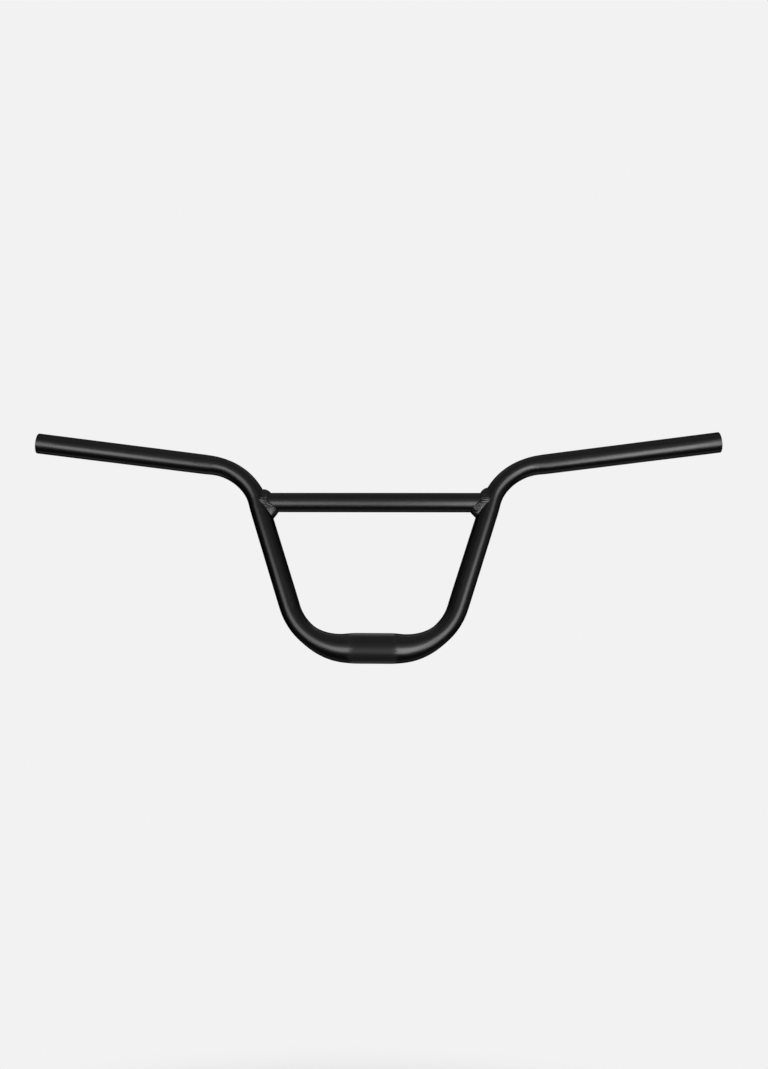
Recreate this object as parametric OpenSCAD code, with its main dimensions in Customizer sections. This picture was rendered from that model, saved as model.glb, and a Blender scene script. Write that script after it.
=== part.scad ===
// Two-tube handlebar with a swaged clamp zone, swept grips and a welded crossbar.
// Lengths are millimetres. The origin is the centre of the clamp zone, +Z is up,
// +X is the rider's right and +Y is forwards, so the grips sweep towards -Y.

/* [Bar shape] */
// Width between the centres of the two end faces
bar_width = 740; // [700:1:780]
// Height of the end faces' centres above the axis of the clamp zone
rise = 218; // [200:1:235]
// Angle at which a grip climbs towards its end
upsweep = 4; // [1:0.5:6]
// Angle at which a grip is swept back towards the rider
backsweep = 9; // [5:0.5:13]
// Angle between an upright and the axis of the clamp zone
upright_angle = 71.5; // [69:0.5:75]
// Distance from the middle of the bar to the start of a lower bend
flat_half = 28; // [25:0.5:34]
// Centre-line radius of the lower bends
lower_bend_r = 64; // [58:1:70]
// Centre-line radius of the upper bends
upper_bend_r = 62; // [54:1:68]

/* [Main tube] */
// Outer diameter of the uprights and grips
tube_d = 22.2; // [22.2:0.1:24]
// Wall thickness of the uprights and grips
tube_wall = 2.2; // [1.6:0.1:3]
// Outer diameter of the clamp zone
clamp_d = 31.8; // [28.6:0.1:35]
// Wall thickness of the clamp zone
clamp_wall = 3.2; // [2.4:0.1:4]
// Length of the parallel clamp zone
clamp_len = 42; // [38:1:50]
// Length, along the bend, over which the clamp diameter falls to the tube diameter
taper_len = 50; // [46:1:60]
// How much radius the tube loses where it is drawn round a bend
bend_thinning = 0.08; // [0.06:0.01:0.12]
// Outer rounding of the two end faces
end_round = 0.8; // [0.4:0.1:1.2]
// Inner chamfer of the two end faces
end_chamfer = 0.4; // [0.2:0.1:0.8]

/* [Crossbar] */
// Outer diameter of the crossbar
crossbar_d = 21.5; // [19:0.1:21.8]
// Wall thickness of the crossbar
crossbar_wall = 1.8; // [1.2:0.1:2.6]
// Height of the crossbar's axis above the axis of the clamp zone
crossbar_height = 162.5; // [150:0.5:167]

/* [Welds] */
// Length of the weld along each tube, away from the acute corner
weld_leg = 4.8; // [3.5:0.1:5.5]
// Further length of the weld in the acute corner under the crossbar
weld_corner_fill = 2.2; // [1:0.1:3]
// Height of the weld's crown over the straight line between its toes
weld_crown = 1; // [0.6:0.1:1.4]
// Distance from one ripple of the weld to the next
ripple_pitch = 1.9; // [1.6:0.1:2.6]
// Height of a ripple
ripple_height = 0.25; // [0.1:0.05:0.4]

/* [Hidden] */
$fn = 96;

finish_black = [0.13, 0.13, 0.13];
weld_black = [0.17, 0.17, 0.17];

tube_r = tube_d / 2;
clamp_r = clamp_d / 2;
crossbar_r = crossbar_d / 2;
bend_r = tube_r - bend_thinning;
bore_r = tube_r - tube_wall;
clamp_bore_r = clamp_r - clamp_wall;

// Straight lengths run this far into the bend next to them, which is thinner and ends inside them
seam_lap = 2;
// Cutting bodies run this far past what they cut
cut_past = 2;

// Directions of the right upright and the right grip
upright_dir = [cos(upright_angle), 0, sin(upright_angle)];
grip_dir = [cos(upsweep) * cos(backsweep), -cos(upsweep) * sin(backsweep), sin(upsweep)];

// The right upper bend lies in the plane of those two directions
upper_bend_angle = acos(upright_dir * grip_dir);
bend_inwards = (grip_dir - upright_dir * cos(upper_bend_angle)) / sin(upper_bend_angle);
bend_axis = cross(bend_inwards, upright_dir);
corner_to_bend = upper_bend_r * tan(upper_bend_angle / 2);

// The straight lengths follow from the width and the rise
lower_bend_end = [
    flat_half + lower_bend_r * sin(upright_angle),
    0,
    lower_bend_r * (1 - cos(upright_angle))
];
straights_x = bar_width / 2 - lower_bend_end.x - corner_to_bend * (upright_dir.x + grip_dir.x);
straights_z = rise - lower_bend_end.z - corner_to_bend * (upright_dir.z + grip_dir.z);
straights_det = upright_dir.x * grip_dir.z - grip_dir.x * upright_dir.z;
upright_len = (straights_x * grip_dir.z - straights_z * grip_dir.x) / straights_det;
grip_len = (upright_dir.x * straights_z - upright_dir.z * straights_x) / straights_det;

upper_bend_start = lower_bend_end + upright_dir * upright_len;
upper_bend_centre = upper_bend_start + bend_inwards * upper_bend_r;
grip_start = upper_bend_start + (upright_dir + grip_dir) * corner_to_bend;

// The taper starts at the clamp zone's edge and ends part of the way round the lower bend,
// whose even part starts a little inside it
taper_start = clamp_len / 2;
taper_end_angle = (taper_start + taper_len - seam_lap - flat_half) / lower_bend_r * 180 / PI;
end_sink = 0.5;
// 0 makes the taper a straight cone, 1 makes it fully S-shaped
taper_softness = 0.1;
outer_taper_facets = [48, 14];
inner_taper_facets = [32, 10];

// The crossbar's ends lie inside the uprights before they are cut to the saddle
crossbar_half = lower_bend_end.x + (crossbar_height - lower_bend_end.z) / tan(upright_angle);

// Welds: rings of points along the saddle seam
ripple_count = round(2 * PI * crossbar_r / ripple_pitch);
rings_per_ripple = 3;
face_points = 6;
foot_points = 4;
// Keeps the flat facets under the weld clear of the round tubes
chord_gap = 0.03;

function unit(v) = v / norm(v);
function between(a, b, t) = a * (1 - t) + b * t;

// Point and slope of the centre line of the right lower bend, at a distance s along it
function low_angle(s) = max(0, s - flat_half) / lower_bend_r * 180 / PI;
function low_point(s) = [
    min(s, flat_half) + lower_bend_r * sin(low_angle(s)),
    0,
    lower_bend_r * (1 - cos(low_angle(s)))
];

// Share of the taper that is done at a distance s, with soft ends
function taper_share(s) =
    let (u = min(1, max(0, (s - taper_start) / taper_len)))
    u - taper_softness * sin(360 * u) / (2 * PI);

// Swaged taper as a swept round of falling radius. Its first ring lies inside the clamp
// zone's end, and its last one is sunk into the bend.
module taper(r_from, r_to, facets) {
    sides = facets[0];
    steps = facets[1];
    s_from = taper_start - seam_lap;
    s_to = taper_start + taper_len;
    stations = concat(
        [for (i = [0 : steps - 1]) s_from + (s_to - s_from) * i / (steps - 1)],
        [s_to + end_sink]
    );
    points = [
        for (i = [0 : steps], j = [0 : sides - 1])
            let (
                s = stations[i],
                a = low_angle(s),
                r = between(r_from, r_to, taper_share(s)) - (i < steps ? 0 : end_sink),
                across = [-sin(a), 0, cos(a)],
                turn = 360 * j / sides
            )
            low_point(s) + r * (cos(turn) * across + sin(turn) * [0, 1, 0])
    ];
    walls = [
        for (i = [0 : steps - 1], j = [0 : sides - 1])
            let (k = (j + 1) % sides, a = i * sides, b = a + sides)
            [a + j, a + k, b + k, b + j]
    ];
    first_cap = [for (j = [sides - 1 : -1 : 0]) j];
    last_cap = [for (j = [0 : sides - 1]) steps * sides + j];
    polyhedron(points, concat([first_cap], walls, [last_cap]), convexity = 4);
}

module lower_bend(r) {
    translate([flat_half, 0, lower_bend_r])
        rotate([90, 0, 0])
            rotate([0, 0, taper_end_angle - 90])
                rotate_extrude(angle = upright_angle - taper_end_angle)
                    translate([lower_bend_r, 0])
                        circle(r);
}

module upright(r) {
    translate(lower_bend_end)
        rotate([0, 90 - upright_angle, 0])
            translate([0, 0, -seam_lap])
                cylinder(r = r, h = upright_len + 2 * seam_lap);
}

module upper_bend(r) {
    x_to = -bend_inwards;
    y_to = upright_dir;
    z_to = bend_axis * -1;
    c = upper_bend_centre;
    multmatrix([
        [x_to.x, y_to.x, z_to.x, c.x],
        [x_to.y, y_to.y, z_to.y, c.y],
        [x_to.z, y_to.z, z_to.z, c.z],
        [0, 0, 0, 1]
    ])
        rotate_extrude(angle = upper_bend_angle)
            translate([upper_bend_r, 0])
                circle(r);
}

module along_grip() {
    translate(grip_start)
        rotate([0, 90 - upsweep, -backsweep])
            children();
}

// Outside of a grip, with its rounded end
module grip_outside() {
    arc_steps = 6;
    rounding = [
        for (i = [0 : arc_steps])
            let (a = 90 * i / arc_steps)
            [tube_r - end_round + end_round * cos(a), grip_len - end_round + end_round * sin(a)]
    ];
    along_grip()
        rotate_extrude()
            polygon(concat([[0, grip_len], [0, -seam_lap], [tube_r, -seam_lap]], rounding));
}

// Bore of a grip, with the chamfer at its mouth
module grip_bore() {
    along_grip() {
        translate([0, 0, -seam_lap])
            cylinder(r = bore_r, h = seam_lap + grip_len + cut_past);
        translate([0, 0, grip_len - end_chamfer])
            cylinder(r1 = bore_r, r2 = bore_r + end_chamfer + cut_past, h = end_chamfer + cut_past);
    }
}

// Parallel clamp zone, with bevelled ends that the tapers come out of
module clamp_zone(r) {
    bevel_end = taper_start + end_sink;
    rotate([0, 90, 0])
        rotate_extrude()
            polygon([
                [0, -bevel_end],
                [r - end_sink, -bevel_end],
                [r, -taper_start],
                [r, taper_start],
                [r - end_sink, bevel_end],
                [0, bevel_end]
            ]);
}

module bar_outside() {
    clamp_zone(clamp_r);
    for (side = [0, 1])
        mirror([side, 0, 0]) {
            taper(clamp_r - bend_thinning, tube_r, outer_taper_facets);
            lower_bend(bend_r);
            upright(tube_r);
            upper_bend(bend_r);
            grip_outside();
        }
}

module bar_bore() {
    bend_bore_r = bore_r - bend_thinning;
    clamp_zone(clamp_bore_r);
    for (side = [0, 1])
        mirror([side, 0, 0]) {
            taper(clamp_bore_r - bend_thinning, bore_r, inner_taper_facets);
            lower_bend(bend_bore_r);
            upright(bore_r);
            upper_bend(bend_bore_r);
            grip_bore();
        }
}

module bar_tube() {
    color(finish_black)
        difference() {
            bar_outside();
            bar_bore();
        }
}

// The stretch of the right side of the bar that the crossbar is cut to
module joint_outside() {
    upright(tube_r);
    upper_bend(bend_r);
}

module crossbar_rod(r) {
    translate([0, 0, crossbar_height])
        rotate([0, 90, 0])
            cylinder(r = r, h = 2 * crossbar_half, center = true);
}

module crossbar() {
    color(finish_black)
        difference() {
            crossbar_rod(crossbar_r);
            crossbar_rod(crossbar_r - crossbar_wall);
            for (side = [0, 1])
                mirror([side, 0, 0])
                    joint_outside();
        }
}

// Nearest point to p on the centre line of the right upright or upper bend
function joint_centre(p) =
    let (along = (p - upper_bend_start) * upright_dir)
    along <= 0
        ? upper_bend_start + upright_dir * along
        : let (
            q = p - upper_bend_centre,
            flat = q - bend_axis * (q * bend_axis)
        )
        upper_bend_centre + unit(flat) * upper_bend_r;

function joint_gap(p) = norm(p - joint_centre(p)) - tube_r;

// The point of the upright's outside next to p
function on_joint(p) =
    let (c = joint_centre(p))
    c + unit(p - c) * (tube_r + chord_gap);

// Where the line along X through y and z enters the right upright, found by halving
function seam_x(y, z, out, in, n) =
    let (mid = (out + in) / 2)
    n == 0
        ? mid
        : joint_gap([mid, y, z]) > 0
            ? seam_x(y, z, mid, in, n - 1)
            : seam_x(y, z, out, mid, n - 1);

// One ring of the right weld: the seam, the rippled face from the crossbar's toe to the
// upright's toe, and the way back to the seam along the upright
function weld_ring(turn) =
    let (
        away_cross = [0, cos(turn), sin(turn)],
        y = (crossbar_r + chord_gap) * away_cross.y,
        z = crossbar_height + (crossbar_r + chord_gap) * away_cross.z,
        axis_x = lower_bend_end.x + (z - lower_bend_end.z) / tan(upright_angle),
        seam = [seam_x(y, z, axis_x - 2 * tube_r, axis_x, 24), y, z],
        away_upright = unit(seam - joint_centre(seam)),
        along_seam = unit(cross(away_cross, away_upright)),
        uphill = unit(cross(along_seam, away_upright)),
        up_upright = uphill * (uphill * away_cross > 0 ? 1 : -1),
        acute = pow(max(0, -sin(turn)), 2),
        leg = weld_leg + weld_corner_fill * acute,
        toe_cross = seam - [leg, 0, 0],
        toe_upright = on_joint(seam + up_upright * leg),
        outwards = unit(away_cross + away_upright),
        crown = weld_crown * (1 - 0.5 * acute)
    )
    concat(
        [seam],
        [
            for (i = [0 : face_points - 1])
                let (
                    t = i / (face_points - 1),
                    hump = 4 * t * (1 - t),
                    phase = ripple_count * turn / 360 - 0.45 * hump,
                    ripple = ripple_height * abs(sin(180 * phase)) * sqrt(hump)
                )
                between(toe_cross, toe_upright, t) + outwards * (crown * hump + ripple)
        ],
        [
            for (i = [1 : foot_points])
                on_joint(between(toe_upright, seam, i / (foot_points + 1)))
        ]
    );

module weld_right_bead() {
    rings = ripple_count * rings_per_ripple;
    ring_points = 1 + face_points + foot_points;
    points = [for (i = [0 : rings - 1]) each weld_ring(360 * i / rings)];
    faces = [
        for (i = [0 : rings - 1], j = [0 : ring_points - 1])
            let (
                a = i * ring_points,
                b = ((i + 1) % rings) * ring_points,
                k = (j + 1) % ring_points
            )
            each [[a + j, a + k, b + k], [a + j, b + k, b + j]]
    ];
    polyhedron(points, faces, convexity = 8);
}

module weld_right() {
    color(weld_black)
        weld_right_bead();
}

module weld_left() {
    color(weld_black)
        mirror([1, 0, 0])
            weld_right_bead();
}

bar_tube();
crossbar();
weld_left();
weld_right();
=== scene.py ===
import math

import bmesh
import bpy
from mathutils import Matrix, Vector, noise


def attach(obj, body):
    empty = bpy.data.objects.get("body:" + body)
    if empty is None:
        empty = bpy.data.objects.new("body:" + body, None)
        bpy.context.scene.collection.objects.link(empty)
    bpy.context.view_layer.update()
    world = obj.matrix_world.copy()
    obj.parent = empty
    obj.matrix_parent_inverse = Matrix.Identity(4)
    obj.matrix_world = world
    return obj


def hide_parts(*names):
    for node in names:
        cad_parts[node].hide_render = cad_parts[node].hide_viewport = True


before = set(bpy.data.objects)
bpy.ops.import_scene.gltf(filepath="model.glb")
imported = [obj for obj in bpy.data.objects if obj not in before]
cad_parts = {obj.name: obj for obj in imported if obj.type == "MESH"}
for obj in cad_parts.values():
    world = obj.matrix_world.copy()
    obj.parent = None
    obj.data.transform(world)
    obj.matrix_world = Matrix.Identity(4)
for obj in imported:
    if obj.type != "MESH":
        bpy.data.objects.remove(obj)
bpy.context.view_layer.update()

MM = 0.001

# Sizes of the bar, in mm
BAR_WIDTH = 740
RISE = 218
UPSWEEP = math.radians(4)
BACKSWEEP = math.radians(9)
UPRIGHT_ANGLE = math.radians(71.5)
FLAT_HALF = 28
LOWER_BEND_R = 64
UPPER_BEND_R = 62
TUBE_R = 11.1
TUBE_WALL = 2.2
CLAMP_R = 15.9
CLAMP_HALF = 21
TAPER_LEN = 50
END_ROUND = 0.8
BORE_CHAMFER = 0.4
CROSSBAR_R = 10.75
CROSSBAR_WALL = 1.8
CROSSBAR_Z = 162.5

# Where the clamp zone runs into the taper, and the taper into the tube, each is blended this far
SHOULDER = 5

# A tube drawn round a bend flattens in the plane of the bend, by this share of its radius, and
# widens sideways by a part of that. It starts ahead of the bend and takes a while to come and go.
UPPER_FLATTENING = 0.085
LOWER_FLATTENING = 0.04
FLATTENING_WIDENS = 0.35
FLATTENING_LEAD = 12
FLATTENING_EASE = 30
# The thick clamp end keeps the first part of each lower bend round
LOWER_STAYS_ROUND = 22

# Where rings are drawn: over the clamp zone and its shoulder, in steps round each bend, and along
# the straight stretches, closer together where those leave a bend
CLAMP_RINGS = (6, 12, 16, 17.5, 19, 20.5, 22, 23.5, 25, 26.5, 28)
LOWER_BEND_STEPS = 44
UPPER_BEND_STEPS = 48
CLOSE_RINGS = (1.5, 3, 4.5, 6, 7.5)
UPRIGHT_RINGS = (30, 60, 90)
GRIP_RINGS = 6
CROSSBAR_RINGS = 12
TUBE_SIDES = 112
ROUND_SEGMENTS = 5
CHAMFER_SEGMENTS = 3
TUBE_SMOOTH_ANGLE = math.radians(40)
WELD_SMOOTH_ANGLE = math.radians(60)

# How near points lie to count as one, and as on a tube end's face or on a rim of it, in mm
SAME_POINT = 0.002
SAME_MIRRORED_POINT = 0.01
ON_FACE = 0.02
ON_RIM = 0.3

# Welds. A bead's legs on the crossbar and on the upright: at the top of the seam, in front and
# behind, and in the acute corner below. Both toes wander a little.
LEFT_LEGS = {"bar": (7.0, 8.2, 8.3), "tube": (4.8, 1.3, 8.2)}
RIGHT_LEGS = {"bar": (4.2, 9.6, 7.4), "tube": (7.2, 1.3, 7.2)}
BAR_TOE_WANDER = 0.5
TUBE_TOE_WANDER = 0.3
WANDER_PACE = 3
WELD_CROWN = 1.0
FOOT_DEPTH = 0.6
# Share of the corner's fill that comes in slowly from the sides; the rest keeps to the corner
EARLY_FILL = 0.35
# Ripples. Drift and lag are counted in ripples: how far one strays from its even place, and how
# far its middle is behind its edges. A power below 1 makes it steep at its front, and the corner
# takes a share of its height away.
RIPPLES = 38
RIPPLE_HEIGHT = 0.5
RIPPLE_DRIFT = 0.9
RIPPLE_DRIFT_PACE = 2.2
RIPPLE_LAG = 0.9
RIPPLE_SIZE, RIPPLE_SIZE_SPREAD = 0.8, 0.7
RIPPLE_POWER = 0.6
CORNER_SMOOTHING = 0.8
# A step and a level that give each ripple its own place in the noise
NOISE_STEP, NOISE_LEVEL = 0.77, 4.2
RINGS_PER_RIPPLE = 6
FACE_POINTS = 28
FOOT_POINTS = 4
BEAD_POINTS = FACE_POINTS + 2 * FOOT_POINTS
# Radius of the plain ring that a bead is shaped from
START_BEAD_R = 2.4

upright = Vector((math.cos(UPRIGHT_ANGLE), 0, math.sin(UPRIGHT_ANGLE)))
grip = Vector((
    math.cos(UPSWEEP) * math.cos(BACKSWEEP),
    -math.cos(UPSWEEP) * math.sin(BACKSWEEP),
    math.sin(UPSWEEP),
))
to_rider = Vector((0, -1, 0))
upper_turn = upright.angle(grip)
inwards = (grip - upright * math.cos(upper_turn)).normalized()
bend_axis = inwards.cross(upright)
corner = UPPER_BEND_R * math.tan(upper_turn / 2)
lower_centre = Vector((FLAT_HALF, 0, LOWER_BEND_R))
lower_end = Vector((
    FLAT_HALF + LOWER_BEND_R * math.sin(UPRIGHT_ANGLE),
    0,
    LOWER_BEND_R * (1 - math.cos(UPRIGHT_ANGLE)),
))

# The lengths of upright and grip follow from the bar's width and rise
spare_x = BAR_WIDTH / 2 - lower_end.x - corner * (upright.x + grip.x)
spare_z = RISE - lower_end.z - corner * (upright.z + grip.z)
det = upright.x * grip.z - grip.x * upright.z
upright_len = (spare_x * grip.z - spare_z * grip.x) / det
grip_len = (upright.x * spare_z - upright.z * spare_x) / det
upper_start = lower_end + upright * upright_len
upper_centre = upper_start + inwards * UPPER_BEND_R
grip_start = upper_start + (upright + grip) * corner
grip_end = grip_start + grip * grip_len
grip_normal = inwards * math.cos(upper_turn) - upright * math.sin(upper_turn)

# Distances along the right half's centre line at which its stretches end
S_LOW = FLAT_HALF
S_UP = S_LOW + LOWER_BEND_R * UPRIGHT_ANGLE
S_TOP = S_UP + upright_len
S_GRIP = S_TOP + UPPER_BEND_R * upper_turn


def smooth_step(t):
    t = min(1, max(0, t))
    return t * t * (3 - 2 * t)


def taper_radius(s):
    """Radius without flattening: a straight taper whose two ends are blended by an average."""
    def area_under_ramp(x):
        if x <= TAPER_LEN:
            return max(0, x) ** 2 / (2 * TAPER_LEN)
        return x - TAPER_LEN / 2

    x = s - CLAMP_HALF
    share = (area_under_ramp(x + SHOULDER) - area_under_ramp(x - SHOULDER)) / (2 * SHOULDER)
    return CLAMP_R + (TUBE_R - CLAMP_R) * share


def bend_flattening(s, start, end, amount):
    rise = smooth_step((s - (start - FLATTENING_LEAD)) / FLATTENING_EASE)
    fall = smooth_step(((end + FLATTENING_LEAD) - s) / FLATTENING_EASE)
    return amount * rise * fall


def path(s):
    """Point and inward normal of the right half's centre line."""
    if s <= S_LOW:
        return Vector((s, 0, 0)), Vector((0, 0, 1))
    if s <= S_UP:
        a = (s - S_LOW) / LOWER_BEND_R
        turned = Vector((-math.sin(a), 0, math.cos(a)))
        return lower_centre - turned * LOWER_BEND_R, turned
    if s <= S_TOP:
        return lower_end + upright * (s - S_UP), inwards
    if s <= S_GRIP:
        a = (s - S_TOP) / UPPER_BEND_R
        turned = inwards * math.cos(a) - upright * math.sin(a)
        return upper_centre - turned * UPPER_BEND_R, turned
    return grip_start + grip * (s - S_GRIP), grip_normal


def section(s):
    """In-plane and sideways radius of the tube at a distance s along the path."""
    r = taper_radius(s)
    flattening = bend_flattening(s, S_LOW + LOWER_STAYS_ROUND, S_UP, LOWER_FLATTENING)
    flattening += bend_flattening(s, S_TOP, S_GRIP, UPPER_FLATTENING)
    return r * (1 - flattening), r * (1 + flattening * FLATTENING_WIDENS)


# Modelling helpers
def clear_selection():
    if bpy.context.mode != "OBJECT":
        bpy.ops.object.mode_set(mode="OBJECT")
    bpy.ops.object.select_all(action="DESELECT")


def pick(piece):
    clear_selection()
    piece.select_set(True)
    bpy.context.view_layer.objects.active = piece


def start_ring(name, radius):
    """A ring round the X axis, selected in edit mode."""
    clear_selection()
    bpy.ops.mesh.primitive_circle_add(
        vertices=TUBE_SIDES, radius=radius * MM, rotation=(0, math.pi / 2, 0))
    ring = bpy.context.active_object
    ring.name = name
    bpy.ops.object.transform_apply(location=True, rotation=True, scale=True)
    bpy.ops.object.mode_set(mode="EDIT")
    bpy.ops.mesh.select_all(action="SELECT")
    return ring


def pull_ring(shift):
    bpy.ops.mesh.extrude_region_move(TRANSFORM_OT_translate={"value": shift * MM})


def bend_ring(centre, axis, angle):
    bpy.ops.mesh.spin(steps=1, angle=angle, center=centre * MM, axis=axis)


def resize_ring(centre, across, sideways, factor_across, factor_sideways):
    directions = Matrix((across, sideways, across.cross(sideways))).transposed()
    bpy.ops.transform.resize(
        value=(factor_across, factor_sideways, 1), orient_type="GLOBAL",
        orient_matrix=directions, orient_matrix_type="GLOBAL", center_override=centre * MM)


def apply_modifier(piece, kind, **settings):
    pick(piece)
    modifier = piece.modifiers.new(kind.title(), kind)
    for key, value in settings.items():
        setattr(modifier, key, value)
    bpy.ops.object.modifier_apply(modifier=modifier.name)


def close_and_face_outwards(piece):
    pick(piece)
    bpy.ops.object.mode_set(mode="EDIT")
    bpy.ops.mesh.select_all(action="SELECT")
    bpy.ops.mesh.remove_doubles(threshold=SAME_POINT * MM)
    bpy.ops.mesh.normals_make_consistent(inside=False)
    bpy.ops.object.mode_set(mode="OBJECT")


def shade_smooth(piece, angle):
    pick(piece)
    bpy.ops.object.shade_smooth_by_angle(angle=angle)


def bevel_end_rims(piece, radius, width, segments):
    """Bevel the rim of this radius at both of the main tube's ends."""
    def on_rim(p):
        off = Vector((abs(p.x), p.y, p.z)) - grip_end
        along = off.dot(grip)
        from_axis = (off - grip * along).length
        return abs(along) < ON_FACE and abs(from_axis - radius) < ON_RIM

    pick(piece)
    bpy.ops.object.mode_set(mode="EDIT")
    bpy.ops.mesh.select_all(action="DESELECT")
    edit = bmesh.from_edit_mesh(piece.data)
    for edge in edit.edges:
        if all(on_rim(v.co / MM) for v in edge.verts):
            edge.select_set(True)
    bmesh.update_edit_mesh(piece.data)
    bpy.ops.mesh.bevel(offset=width * MM, segments=segments, profile=0.5, affect="EDGES")
    bpy.ops.object.mode_set(mode="OBJECT")


# The main tube
def draw_skin(name):
    """The tube's skin: a ring drawn from the middle to the right grip's end, then mirrored."""
    skin = start_ring(name, CLAMP_R)
    last = [CLAMP_R, CLAMP_R]

    def reshape(s, sideways):
        centre, across = path(s)
        now = section(s)
        resize_ring(centre, across, sideways, now[0] / last[0], now[1] / last[1])
        last[:] = now

    def draw_straight(start, direction, places, sideways):
        done = 0
        for place in places:
            pull_ring(direction * (place - done))
            reshape(start + place, sideways)
            done = place

    def draw_bend(start, end, centre, axis, angle, steps, sideways):
        for i in range(steps):
            bend_ring(centre, axis, angle / steps)
            reshape(start + (end - start) * (i + 1) / steps, sideways)

    upright_places = [*CLOSE_RINGS, *UPRIGHT_RINGS]
    upright_places += [upright_len - gap for gap in reversed(CLOSE_RINGS)] + [upright_len]
    grip_places = [*CLOSE_RINGS]
    grip_places += [grip_len * i / GRIP_RINGS for i in range(1, GRIP_RINGS + 1)]
    draw_straight(0, Vector((1, 0, 0)), CLAMP_RINGS, to_rider)
    draw_bend(S_LOW, S_UP, lower_centre, -to_rider, UPRIGHT_ANGLE, LOWER_BEND_STEPS, to_rider)
    draw_straight(S_UP, upright, upright_places, to_rider)
    draw_bend(S_TOP, S_GRIP, upper_centre, bend_axis, upper_turn, UPPER_BEND_STEPS, bend_axis)
    draw_straight(S_GRIP, grip, grip_places, bend_axis)
    bpy.ops.object.mode_set(mode="OBJECT")
    apply_modifier(skin, "MIRROR", use_axis=(True, False, False), use_mirror_merge=True,
                   merge_threshold=SAME_MIRRORED_POINT * MM)
    close_and_face_outwards(skin)
    return skin


def make_bar_tube():
    tube = draw_skin("drawn_tube")
    apply_modifier(tube, "SOLIDIFY", thickness=TUBE_WALL * MM, offset=-1, use_rim=True)
    bevel_end_rims(tube, TUBE_R, END_ROUND, ROUND_SEGMENTS)
    bevel_end_rims(tube, TUBE_R - TUBE_WALL, BORE_CHAMFER, CHAMFER_SEGMENTS)
    shade_smooth(tube, TUBE_SMOOTH_ANGLE)
    return tube


def make_saddle_cutter():
    """The tube's outside as a closed body, for cutting the crossbar's ends to the saddle."""
    body = draw_skin("saddle_cutter")
    pick(body)
    bpy.ops.object.mode_set(mode="EDIT")
    bpy.ops.mesh.select_all(action="DESELECT")
    bpy.ops.mesh.select_mode(type="EDGE")
    bpy.ops.mesh.select_non_manifold()
    bpy.ops.mesh.edge_face_add()
    bpy.ops.object.mode_set(mode="OBJECT")
    close_and_face_outwards(body)
    return body


def upright_x(z):
    """X of the right upright's centre line at a height."""
    return lower_end.x + (z - lower_end.z) / math.tan(UPRIGHT_ANGLE)


def make_crossbar():
    reach = upright_x(CROSSBAR_Z)
    bar = start_ring("coped_crossbar", CROSSBAR_R)
    bpy.ops.transform.translate(value=(-reach * MM, 0, CROSSBAR_Z * MM))
    for _ in range(CROSSBAR_RINGS):
        pull_ring(Vector((2 * reach / CROSSBAR_RINGS, 0, 0)))
    close_and_face_outwards(bar)
    apply_modifier(bar, "SOLIDIFY", thickness=CROSSBAR_WALL * MM, offset=-1, use_rim=True)
    cutter = make_saddle_cutter()
    apply_modifier(bar, "BOOLEAN", operation="DIFFERENCE", object=cutter, solver="EXACT")
    bpy.data.objects.remove(cutter)
    close_and_face_outwards(bar)
    shade_smooth(bar, TUBE_SMOOTH_ANGLE)
    return bar


# The welds: each is a ring of metal laid along the saddle seam
def place_along_tube(p):
    """Distance along the path at which the right upright or upper bend is next to p."""
    along = (p - upper_start).dot(upright)
    if along <= 0:
        return S_TOP + along
    q = p - upper_centre
    return S_TOP + UPPER_BEND_R * math.atan2(q.dot(upright), -q.dot(inwards))


def share_of_section(p):
    """How far p is from the centre line, with 1 at the tube's surface, and the line's point."""
    s = place_along_tube(p)
    centre, across = path(s)
    now = section(s)
    off = p - centre
    return math.hypot(off.dot(across) / now[0], off.dot(bend_axis) / now[1]), centre


def on_tube(p, lift=0.0):
    """The point of the tube's surface that is next to p, or one that much above it."""
    share, centre = share_of_section(p)
    off = (p - centre) / share
    return centre + off + off.normalized() * lift


def seam_point(turn):
    """Where the crossbar's surface meets the tube's, found by halving. A turn of 0 is in front."""
    y = CROSSBAR_R * math.cos(turn)
    z = CROSSBAR_Z + CROSSBAR_R * math.sin(turn)
    inside = upright_x(z)
    outside = inside - 2 * TUBE_R
    for _ in range(30):
        middle = (inside + outside) / 2
        if share_of_section(Vector((middle, y, z)))[0] > 1:
            outside = middle
        else:
            inside = middle
    return Vector((inside, y, z))


def surface_normal(p):
    step = 0.05
    here = share_of_section(p)[0]
    return Vector(tuple(
        share_of_section(p + Vector(d) * step)[0] - here
        for d in ((1, 0, 0), (0, 1, 0), (0, 0, 1))
    )).normalized()


def leg_at(turn, legs):
    """A leg between its three given values; most of the corner's fill keeps to the corner."""
    top, beside, below = legs
    rise = math.sin(turn)
    if rise > 0:
        return beside + (top - beside) * rise ** 2
    fill = EARLY_FILL * rise ** 2 + (1 - EARLY_FILL) * rise ** 8
    return beside + (below - beside) * fill


def ripple_height(turn, hump, seed):
    """Each ripple freezes as a crescent: steep at its front and of its own height and length."""
    pace = RIPPLE_DRIFT_PACE
    drift = noise.noise(Vector((pace * math.cos(turn), pace * math.sin(turn), seed + 3)))
    phase = RIPPLES * turn / (2 * math.pi) - RIPPLE_LAG * hump + RIPPLE_DRIFT * drift
    ripple = math.floor(phase)
    spread = noise.noise(Vector((ripple * NOISE_STEP, seed, NOISE_LEVEL)))
    size = RIPPLE_SIZE + RIPPLE_SIZE_SPREAD * spread
    return RIPPLE_HEIGHT * size * math.sin(math.pi * (phase - ripple) ** RIPPLE_POWER)


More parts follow.
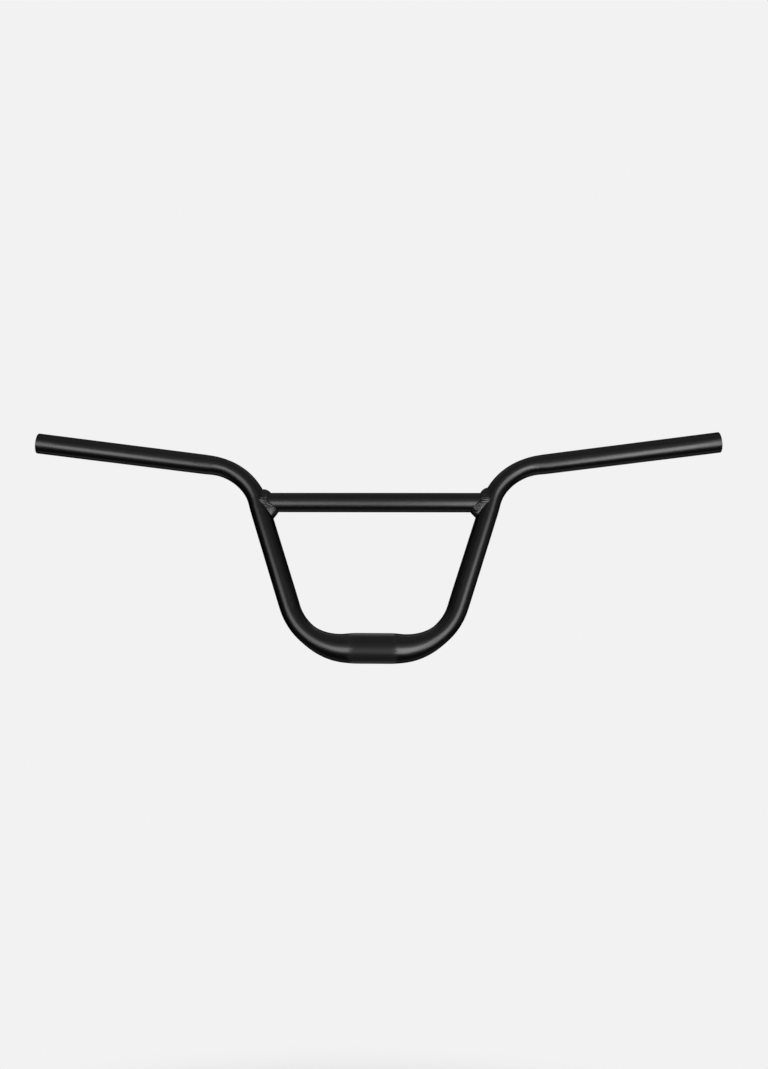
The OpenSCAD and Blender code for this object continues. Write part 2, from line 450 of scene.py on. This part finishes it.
def bead_ring(turn, legs, seed):
    """Points round the bead at one place on the seam: face first, then the hidden foot."""
    away_bar = Vector((0, math.cos(turn), math.sin(turn)))
    seam = seam_point(turn)
    away_tube = surface_normal(seam)
    along = away_bar.cross(away_tube).normalized()
    up_tube = along.cross(away_tube).normalized()
    if up_tube.dot(away_bar) < 0:
        up_tube.negate()
    acute = max(0, -math.sin(turn)) ** 6
    wander = noise.noise(Vector((
        WANDER_PACE * math.cos(turn), WANDER_PACE * math.sin(turn), seed)))
    bar_leg = leg_at(turn, legs["bar"]) + BAR_TOE_WANDER * wander
    tube_leg = leg_at(turn, legs["tube"]) - TUBE_TOE_WANDER * wander
    toe_bar = seam - Vector((bar_leg, 0, 0))
    toe_tube = on_tube(seam + up_tube * tube_leg)
    outwards = (away_bar + away_tube).normalized()
    ring = []
    for i in range(FACE_POINTS):
        t = i / (FACE_POINTS - 1)
        hump = 4 * t * (1 - t)
        ripple = ripple_height(turn, hump, seed) * (1 - CORNER_SMOOTHING * acute)
        lift = WELD_CROWN * (1 - acute) * hump + ripple * math.sqrt(hump)
        ring.append(toe_bar.lerp(toe_tube, t) + outwards * lift)
    foot = [(i + 0.5) / FOOT_POINTS for i in range(FOOT_POINTS)]
    for t in foot:
        ring.append(on_tube(toe_tube.lerp(seam, t), -FOOT_DEPTH))
    for t in foot:
        p = seam.lerp(toe_bar, t)
        off = Vector((0, p.y, p.z - CROSSBAR_Z)).normalized()
        ring.append(p - off * FOOT_DEPTH)
    return ring


def make_weld(name, side, legs, seed):
    """The bead at the right upright (side 1) or the left one (side -1)."""
    rings = RIPPLES * RINGS_PER_RIPPLE
    clear_selection()
    bpy.ops.mesh.primitive_torus_add(
        major_segments=rings, minor_segments=BEAD_POINTS,
        major_radius=CROSSBAR_R * MM, minor_radius=START_BEAD_R * MM)
    bead = bpy.context.active_object
    bead.name = name
    for i in range(rings):
        ring = bead_ring(2 * math.pi * i / rings, legs, seed)
        for j, p in enumerate(ring):
            bead.data.vertices[i * BEAD_POINTS + j].co = Vector((p.x * side, p.y, p.z)) * MM
    close_and_face_outwards(bead)
    shade_smooth(bead, WELD_SMOOTH_ANGLE)
    return bead


# Finishes
def linear(code):
    """Turn an sRGB hex colour into the linear one that a shader takes."""
    parts = [int(code[i:i + 2], 16) / 255 for i in (1, 3, 5)]
    return tuple(c / 12.92 if c <= 0.04045 else ((c + 0.055) / 1.055) ** 2.4 for c in parts) + (1,)


def add_node(tree, kind, inputs=None, **settings):
    """Add a node with its settings. Each input that is named gets its value, or a link to the
    socket that is given for it."""
    node = tree.nodes.new(kind)
    for key, value in settings.items():
        setattr(node, key, value)
    for key, value in (inputs or {}).items():
        if isinstance(value, bpy.types.NodeSocket):
            tree.links.new(value, node.inputs[key])
        else:
            node.inputs[key].default_value = value
    return node


# The Mix node has sockets for numbers and for colours under the same names, so these are numbers
NUMBER_A, NUMBER_B, NUMBER_OUT = 2, 3, 0
COLOUR_A, COLOUR_B, COLOUR_OUT = 6, 7, 2

# Sizes in mm. The grain is coarser than the real one, which is about 0.05 mm and too fine for a
# picture of the whole bar. Noise scales are lumps a metre, and noise mostly keeps to its range.
PER_METRE = 1000
GRAIN = 0.8
GRAIN_DEPTH = 0.02
MOTTLING = 4
MOTTLING_RANGE = (0.3, 0.7)
# The tumbled grain shades itself at grazing angles, which this edge tint stands for
EDGE_TINT = "#959595"

# The stem's seat. From where to where the blasting fades in and out along X, how ragged both
# edges are, and the size of a tongue of it, drawn out along X
SEAT_FADES_IN = (-29, -19)
SEAT_FADES_OUT = (20.5, 25)
SEAT_RAGGED = 3
SEAT_TONGUE = 4
SEAT_TONGUE_DRAWN_OUT = (0.35, 1, 1)
SEAT_TONGUE_RANGE = (0.25, 0.75)
SEAT_COLOUR = "#1f1f20"
SEAT_ROUGHNESS = 0.33
SEAT_METALLIC = 0.5


def new_finish(name):
    finish = bpy.data.materials.new(name)
    finish.use_nodes = True
    finish.node_tree.nodes.clear()
    return finish, finish.node_tree


def stem_seat(tree, place):
    """1 on the stem's seat and 0 elsewhere, with ragged edges, as blasting by hand leaves them."""
    drawn_out = add_node(tree, "ShaderNodeMapping", {
        "Vector": place, "Scale": SEAT_TONGUE_DRAWN_OUT})
    tongues = add_node(tree, "ShaderNodeTexNoise", {
        "Vector": drawn_out.outputs[0], "Scale": PER_METRE / SEAT_TONGUE})
    ragged = add_node(tree, "ShaderNodeMapRange", {
        "Value": tongues.outputs["Fac"], "To Min": -1, "To Max": 1,
        "From Min": SEAT_TONGUE_RANGE[0], "From Max": SEAT_TONGUE_RANGE[1]})
    parts = add_node(tree, "ShaderNodeSeparateXYZ", {"Vector": place})
    across = add_node(tree, "ShaderNodeMath", {
        0: ragged.outputs["Result"], 1: SEAT_RAGGED * MM, 2: parts.outputs["X"],
    }, operation="MULTIPLY_ADD")
    fades = [
        add_node(tree, "ShaderNodeMapRange", {
            "Value": across.outputs[0], "To Min": before, "To Max": 1 - before,
            "From Min": begin * MM, "From Max": end * MM,
        }, interpolation_type="SMOOTHSTEP")
        for (begin, end), before in ((SEAT_FADES_IN, 0), (SEAT_FADES_OUT, 1))
    ]
    return add_node(tree, "ShaderNodeMath", {
        0: fades[0].outputs["Result"], 1: fades[1].outputs["Result"],
    }, operation="MULTIPLY").outputs[0]


def satin_black(name, colours, roughnesses, grain_strength, blasted_seat=False):
    """Aluminium, tumbled, then anodised black: a deep neutral black that shows softboxes as grey
    bands with soft edges and keeps dark rims. Both ranges follow a faint mottling."""
    finish, tree = new_finish(name)
    place = add_node(tree, "ShaderNodeTexCoord").outputs["Object"]
    mottling = add_node(tree, "ShaderNodeTexNoise", {
        "Vector": place, "Scale": PER_METRE / MOTTLING}).outputs["Fac"]
    grain = add_node(tree, "ShaderNodeTexNoise", {
        "Vector": place, "Scale": PER_METRE / GRAIN}).outputs["Fac"]
    colour = add_node(tree, "ShaderNodeMix", {
        "Factor": mottling, COLOUR_A: linear(colours[0]), COLOUR_B: linear(colours[1]),
    }, data_type="RGBA").outputs[COLOUR_OUT]
    roughness = add_node(tree, "ShaderNodeMapRange", {
        "Value": mottling, "From Min": MOTTLING_RANGE[0], "From Max": MOTTLING_RANGE[1],
        "To Min": roughnesses[0], "To Max": roughnesses[1]}).outputs["Result"]
    metallic = 1.0
    if blasted_seat:
        # Bead-blasted aluminium mirrors the softboxes only faintly, and its scatter keeps the
        # darkest places a little greyer
        seat = stem_seat(tree, place)
        colour = add_node(tree, "ShaderNodeMix", {
            "Factor": seat, COLOUR_A: colour, COLOUR_B: linear(SEAT_COLOUR),
        }, data_type="RGBA").outputs[COLOUR_OUT]
        roughness, metallic = (
            add_node(tree, "ShaderNodeMix", {
                "Factor": seat, NUMBER_A: bare, NUMBER_B: on_seat}).outputs[NUMBER_OUT]
            for bare, on_seat in ((roughness, SEAT_ROUGHNESS), (metallic, SEAT_METALLIC))
        )
    bump = add_node(tree, "ShaderNodeBump", {
        "Strength": grain_strength, "Distance": GRAIN_DEPTH * MM, "Height": grain})
    shader = add_node(tree, "ShaderNodeBsdfPrincipled", {
        "Base Color": colour, "Metallic": metallic, "Roughness": roughness,
        "Specular Tint": linear(EDGE_TINT), "Normal": bump.outputs[0]})
    add_node(tree, "ShaderNodeOutputMaterial", {"Surface": shader.outputs[0]})
    return finish


# Drawn tube is the smoothest. Weld metal cools uneven, so its range is wider.
tube_finish = satin_black(
    "satin_black_anodised_aluminium_tube", ("#363637", "#3b3b3c"), (0.28, 0.31), 0.12,
    blasted_seat=True)
crossbar_finish = satin_black(
    "satin_black_anodised_aluminium_crossbar", ("#363637", "#3b3b3c"), (0.31, 0.34), 0.12)
weld_finish = satin_black(
    "satin_black_anodised_aluminium_weld", ("#343435", "#3e3e3f"), (0.28, 0.38), 0.1)

# Blender's own startup objects go
for startup in ("Cube", "Light", "Camera"):
    if startup in bpy.data.objects:
        bpy.data.objects.remove(bpy.data.objects[startup])

bar_tube = make_bar_tube()
crossbar = make_crossbar()
weld_right = make_weld("weld_bead_right", 1, RIGHT_LEGS, seed=1.7)
weld_left = make_weld("weld_bead_left", -1, LEFT_LEGS, seed=5.6)

for piece, node, slot, finish in (
    (bar_tube, "bar_tube", "bar_finish", tube_finish),
    (crossbar, "crossbar", "crossbar_finish", crossbar_finish),
    (weld_left, "weld_left", "weld_finish", weld_finish),
    (weld_right, "weld_right", "weld_finish", weld_finish),
):
    piece.data.materials.clear()
    piece.data.materials.append(finish)
    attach(piece, "root")
    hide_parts(node)

# Camera at the photograph's viewing angle: from the rider's side, a little below the bar.
# Distances are in mm, and places in the picture in pixels of its 768 by 1069.
PICTURE_WIDTH, PICTURE_HEIGHT = 768, 1069
DISTANCE = 880.39
FOCAL_LENGTH = 846.5
YAW, PITCH, ROLL = (math.radians(a) for a in (-2.0824, -19.5489, 0.7962))
LENS_AXIS = (351.15, 525.67)
CLAMP_CENTRE = (373.36, 648.39)
yawed = Matrix.Rotation(YAW, 3, "Z")
pitched = Matrix.Rotation(PITCH, 3, "X")
rolled = Matrix.Rotation(ROLL, 3, "Y")
to_world = (rolled @ pitched @ yawed).transposed()
clamp_from_eye = Vector((
    (CLAMP_CENTRE[0] - LENS_AXIS[0]) * DISTANCE / FOCAL_LENGTH,
    DISTANCE,
    (LENS_AXIS[1] - CLAMP_CENTRE[1]) * DISTANCE / FOCAL_LENGTH,
))
eye = -(to_world @ clamp_from_eye)
right, forward, up = (to_world @ Vector(a) for a in ((1, 0, 0), (0, 1, 0), (0, 0, 1)))
lens = bpy.data.cameras.new("photo_camera")
lens.sensor_fit = "VERTICAL"
lens.sensor_height = 36
lens.lens = FOCAL_LENGTH / PICTURE_HEIGHT * lens.sensor_height
lens.shift_x = (PICTURE_WIDTH / 2 - LENS_AXIS[0]) / PICTURE_HEIGHT
lens.shift_y = (LENS_AXIS[1] - PICTURE_HEIGHT / 2) / PICTURE_HEIGHT
lens.clip_start = 0.05
camera = bpy.data.objects.new("photo_camera", lens)
bpy.context.scene.collection.objects.link(camera)
facing = Matrix((right, up, -forward)).transposed().to_4x4()
camera.matrix_world = Matrix.Translation(eye * MM) @ facing
bpy.context.scene.camera = camera

# Plain studio: a pale backdrop behind the bar, a dim room round it and a pale paper floor that
# runs back from below it. The camera sees backdrop and floor as pale. The bar's gloss sees them
# too, but dimmer, since the real paper is lit less than it looks. Lengths here are in metres.
PALE = "#f2f2f2"
BACKDROP_IN_GLOSS = 0.3
FLOOR_IN_GLOSS = 0.65
FLOOR_Z = -1.0
FLOOR_MIDDLE = 1.2
FLOOR_REACH = 1.9
# The floor fades out round its middle at these distances, and towards the camera along Y
FLOOR_FADE = (FLOOR_REACH - 0.7, FLOOR_REACH - 0.05)
FLOOR_FRONT_FADE = (0.35, 0.9)
# The rest of what the camera sees of the floor is lit paper, which keeps the shadow
FLOOR_GLOW = 0.85
# The room's light by the direction looked in: along which axis it changes, from where to where,
# and from which strength to which
ROOM_LIGHT = {
    "overhead": ("Z", 0.4, 0.9, 0.03, 0.42),
    "in front": ("Y", -0.95, -0.7, 0.4, 0),
    "beside": ("X", 0.4, 0.85, 0, 0.2),
    "backdrop in gloss": ("Y", 0.6, 0.95, 0, BACKDROP_IN_GLOSS),
}
# What is beside the bar keeps to this height above and below the level
BESIDE_HEIGHT_FADE = (0.15, 0.5)


def seen_directly_or_in_gloss(tree, gloss_share):
    rays = add_node(tree, "ShaderNodeLightPath").outputs
    gloss = add_node(tree, "ShaderNodeMath", {
        0: rays["Is Glossy Ray"], 1: rays["Is Transmission Ray"]}, operation="MAXIMUM")
    dimmed = add_node(tree, "ShaderNodeMath", {
        0: gloss.outputs[0], 1: gloss_share}, operation="MULTIPLY")
    return add_node(tree, "ShaderNodeMath", {
        0: rays["Is Camera Ray"], 1: dimmed.outputs[0]}, operation="MAXIMUM").outputs[0]


world = bpy.context.scene.world or bpy.data.worlds.new("studio")
bpy.context.scene.world = world
world.use_nodes = True
world.node_tree.nodes.clear()
room = world.node_tree
direction = add_node(room, "ShaderNodeTexCoord").outputs["Generated"]
towards = add_node(room, "ShaderNodeSeparateXYZ", {"Vector": direction}).outputs
light = {}
for part, (axis, begin, end, low, high) in ROOM_LIGHT.items():
    light[part] = add_node(room, "ShaderNodeMapRange", {
        "Value": towards[axis], "From Min": begin, "From Max": end,
        "To Min": low, "To Max": high,
    }, interpolation_type="SMOOTHSTEP").outputs["Result"]
off_level = add_node(room, "ShaderNodeMath", {0: towards["Z"]}, operation="ABSOLUTE")
near_level = add_node(room, "ShaderNodeMapRange", {
    "Value": off_level.outputs[0], "To Min": 1, "To Max": 0,
    "From Min": BESIDE_HEIGHT_FADE[0], "From Max": BESIDE_HEIGHT_FADE[1],
}, interpolation_type="SMOOTHSTEP")
beside = add_node(room, "ShaderNodeMath", {
    0: light["beside"], 1: near_level.outputs["Result"]}, operation="MULTIPLY")
above_and_in_front = add_node(room, "ShaderNodeMath", {
    0: light["overhead"], 1: light["in front"]}, operation="ADD")
all_round = add_node(room, "ShaderNodeMath", {
    0: above_and_in_front.outputs[0], 1: beside.outputs[0]}, operation="ADD")
dim_walls = add_node(room, "ShaderNodeBackground", {
    "Color": linear(PALE), "Strength": all_round.outputs[0]})
backdrop = add_node(room, "ShaderNodeBackground", {"Color": linear(PALE), "Strength": 1.0})
studio = add_node(room, "ShaderNodeMixShader", {
    0: seen_directly_or_in_gloss(room, light["backdrop in gloss"]),
    1: dim_walls.outputs[0], 2: backdrop.outputs[0]})
add_node(room, "ShaderNodeOutputWorld", {"Surface": studio.outputs[0]})

clear_selection()
bpy.ops.mesh.primitive_plane_add(size=2 * FLOOR_REACH, location=(0, FLOOR_MIDDLE, FLOOR_Z))
floor = bpy.context.active_object
floor.name = "studio_floor"
bpy.ops.object.transform_apply(location=True, rotation=True, scale=True)
paper, tree = new_finish("pale_studio_paper")
spot = add_node(tree, "ShaderNodeTexCoord").outputs["Object"]
spot_y = add_node(tree, "ShaderNodeSeparateXYZ", {"Vector": spot}).outputs["Y"]
from_middle = add_node(tree, "ShaderNodeVectorMath", {
    0: spot, 1: (0, FLOOR_MIDDLE, FLOOR_Z)}, operation="DISTANCE").outputs["Value"]
fades = [
    add_node(tree, "ShaderNodeMapRange", {
        "Value": value, "From Min": begin, "From Max": end,
        "To Min": before, "To Max": 1 - before,
    }, interpolation_type="SMOOTHSTEP")
    for value, (begin, end), before in (
        (from_middle, FLOOR_FADE, 1), (spot_y, FLOOR_FRONT_FADE, 0))
]
faded = add_node(tree, "ShaderNodeMath", {
    0: fades[0].outputs["Result"], 1: fades[1].outputs["Result"]}, operation="MULTIPLY")
lit = add_node(tree, "ShaderNodeBsdfDiffuse", {"Color": linear(PALE)})
glow = add_node(tree, "ShaderNodeEmission", {"Color": linear(PALE), "Strength": 1.0})
shown = add_node(tree, "ShaderNodeMath", {
    0: seen_directly_or_in_gloss(tree, FLOOR_IN_GLOSS), 1: FLOOR_GLOW}, operation="MULTIPLY")
surface = add_node(tree, "ShaderNodeMixShader", {
    0: shown.outputs[0], 1: lit.outputs[0], 2: glow.outputs[0]})
nothing = add_node(tree, "ShaderNodeBsdfTransparent")
paper_or_nothing = add_node(tree, "ShaderNodeMixShader", {
    0: faded.outputs[0], 1: nothing.outputs[0], 2: surface.outputs[0]})
add_node(tree, "ShaderNodeOutputMaterial", {"Surface": paper_or_nothing.outputs[0]})
floor.data.materials.append(paper)

BAR_MIDDLE = Vector((0, 0, 0.11))
LAMP_DISTANCE = 1.8
# Name, azimuth and elevation in degrees, width and height in metres, and radiance. Azimuth 0 is
# the camera's side and 90 the rider's right.
SOFTBOXES = (
    ("softbox_right", 39, -15, 0.95, 1.8, 4.1),
    ("softbox_right_inner", 17, -32, 0.42, 1.35, 7.7),
    ("softbox_left", -40, -12, 1.05, 1.4, 3.1),
    ("softbox_left_inner", -16, -28, 0.5, 1.1, 5.0),
    ("softbox_rear_right", 161, 20, 0.6, 0.9, 2.4),
    ("softbox_rear_left", -161, 20, 0.6, 0.9, 2.4),
    ("softbox_rear_top", 180, 66, 1.8, 1.2, 1.4),
)
for name, azimuth, elevation, width, height, radiance in SOFTBOXES:
    lamp = bpy.data.lights.new(name, "AREA")
    lamp.shape = "RECTANGLE"
    lamp.size, lamp.size_y = width, height
    lamp.energy = radiance * math.pi * width * height
    softbox = bpy.data.objects.new(name, lamp)
    bpy.context.scene.collection.objects.link(softbox)
    a, e = math.radians(azimuth), math.radians(elevation)
    away = Vector((math.sin(a) * math.cos(e), -math.cos(a) * math.cos(e), math.sin(e)))
    softbox.location = BAR_MIDDLE + away * LAMP_DISTANCE
    softbox.rotation_euler = away.to_track_quat("Z", "Y").to_euler()
    softbox.visible_camera = False

bpy.context.scene.view_settings.view_transform = "Standard"
